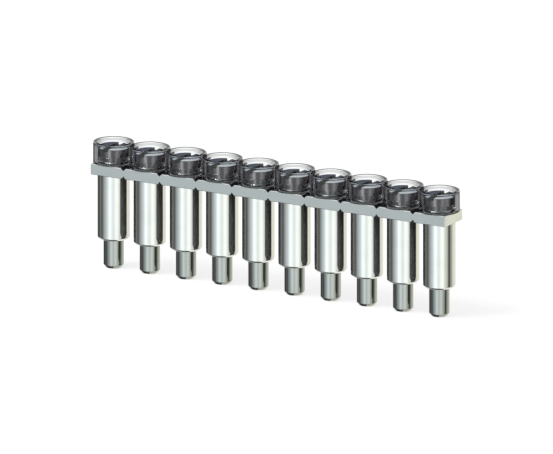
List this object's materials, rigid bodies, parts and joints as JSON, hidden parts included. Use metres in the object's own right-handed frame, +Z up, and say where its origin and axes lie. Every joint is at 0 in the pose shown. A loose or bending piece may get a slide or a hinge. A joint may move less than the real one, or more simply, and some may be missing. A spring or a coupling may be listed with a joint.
{
  "type": "terminal block jumper bar",
  "caption": "Screw-in jumper bar for rail terminals: notched flat metal bar with plated sleeves, captive slotted screws and clear insulating cups round the heads.",
  "frame": {"origin": "middle of the row, on the plane where the screw tips end", "axes": "+X along the row, +Y across it, +Z up from the tips to the cups"},
  "size_m": [0.06, 0.006, 0.0187],
  "materials": {
    "bar_plating": "bright tin-plated strip, faintly drawn along its length",
    "sleeve_plating": "turned and bright nickel-plated",
    "screw_plating": "bright zinc-plated steel",
    "clear_plastic": "clear moulded plastic, glossy"
  },
  "bodies": {
    "carrier": {"bar": "bar_plating", "sleeve_1": "sleeve_plating", "sleeve_2": "sleeve_plating", "sleeve_3": "sleeve_plating", "sleeve_4": "sleeve_plating", "sleeve_5": "sleeve_plating", "sleeve_6": "sleeve_plating", "sleeve_7": "sleeve_plating", "sleeve_8": "sleeve_plating", "sleeve_9": "sleeve_plating", "sleeve_10": "sleeve_plating", "cup_1": "clear_plastic", "cup_2": "clear_plastic", "cup_3": "clear_plastic", "cup_4": "clear_plastic", "cup_5": "clear_plastic", "cup_6": "clear_plastic", "cup_7": "clear_plastic", "cup_8": "clear_plastic", "cup_9": "clear_plastic", "cup_10": "clear_plastic"},
    "screw_1": {"screw_1": "screw_plating"},
    "screw_2": {"screw_2": "screw_plating"},
    "screw_3": {"screw_3": "screw_plating"},
    "screw_4": {"screw_4": "screw_plating"},
    "screw_5": {"screw_5": "screw_plating"},
    "screw_6": {"screw_6": "screw_plating"},
    "screw_7": {"screw_7": "screw_plating"},
    "screw_8": {"screw_8": "screw_plating"},
    "screw_9": {"screw_9": "screw_plating"},
    "screw_10": {"screw_10": "screw_plating"}
  },
  "joints": [
    {"name": "screw_1_turn", "type": "hinge", "parent": "carrier", "child": "screw_1", "pos_m": [-0.027, 0, 0], "axis": [0, 0, 1], "continuous": true},
    {"name": "screw_2_turn", "type": "hinge", "parent": "carrier", "child": "screw_2", "pos_m": [-0.021, 0, 0], "axis": [0, 0, 1], "continuous": true},
    {"name": "screw_3_turn", "type": "hinge", "parent": "carrier", "child": "screw_3", "pos_m": [-0.015, 0, 0], "axis": [0, 0, 1], "continuous": true},
    {"name": "screw_4_turn", "type": "hinge", "parent": "carrier", "child": "screw_4", "pos_m": [-0.009, 0, 0], "axis": [0, 0, 1], "continuous": true},
    {"name": "screw_5_turn", "type": "hinge", "parent": "carrier", "child": "screw_5", "pos_m": [-0.003, 0, 0], "axis": [0, 0, 1], "continuous": true},
    {"name": "screw_6_turn", "type": "hinge", "parent": "carrier", "child": "screw_6", "pos_m": [0.003, 0, 0], "axis": [0, 0, 1], "continuous": true},
    {"name": "screw_7_turn", "type": "hinge", "parent": "carrier", "child": "screw_7", "pos_m": [0.009, 0, 0], "axis": [0, 0, 1], "continuous": true},
    {"name": "screw_8_turn", "type": "hinge", "parent": "carrier", "child": "screw_8", "pos_m": [0.015, 0, 0], "axis": [0, 0, 1], "continuous": true},
    {"name": "screw_9_turn", "type": "hinge", "parent": "carrier", "child": "screw_9", "pos_m": [0.021, 0, 0], "axis": [0, 0, 1], "continuous": true},
    {"name": "screw_10_turn", "type": "hinge", "parent": "carrier", "child": "screw_10", "pos_m": [0.027, 0, 0], "axis": [0, 0, 1], "continuous": true}
  ]
}
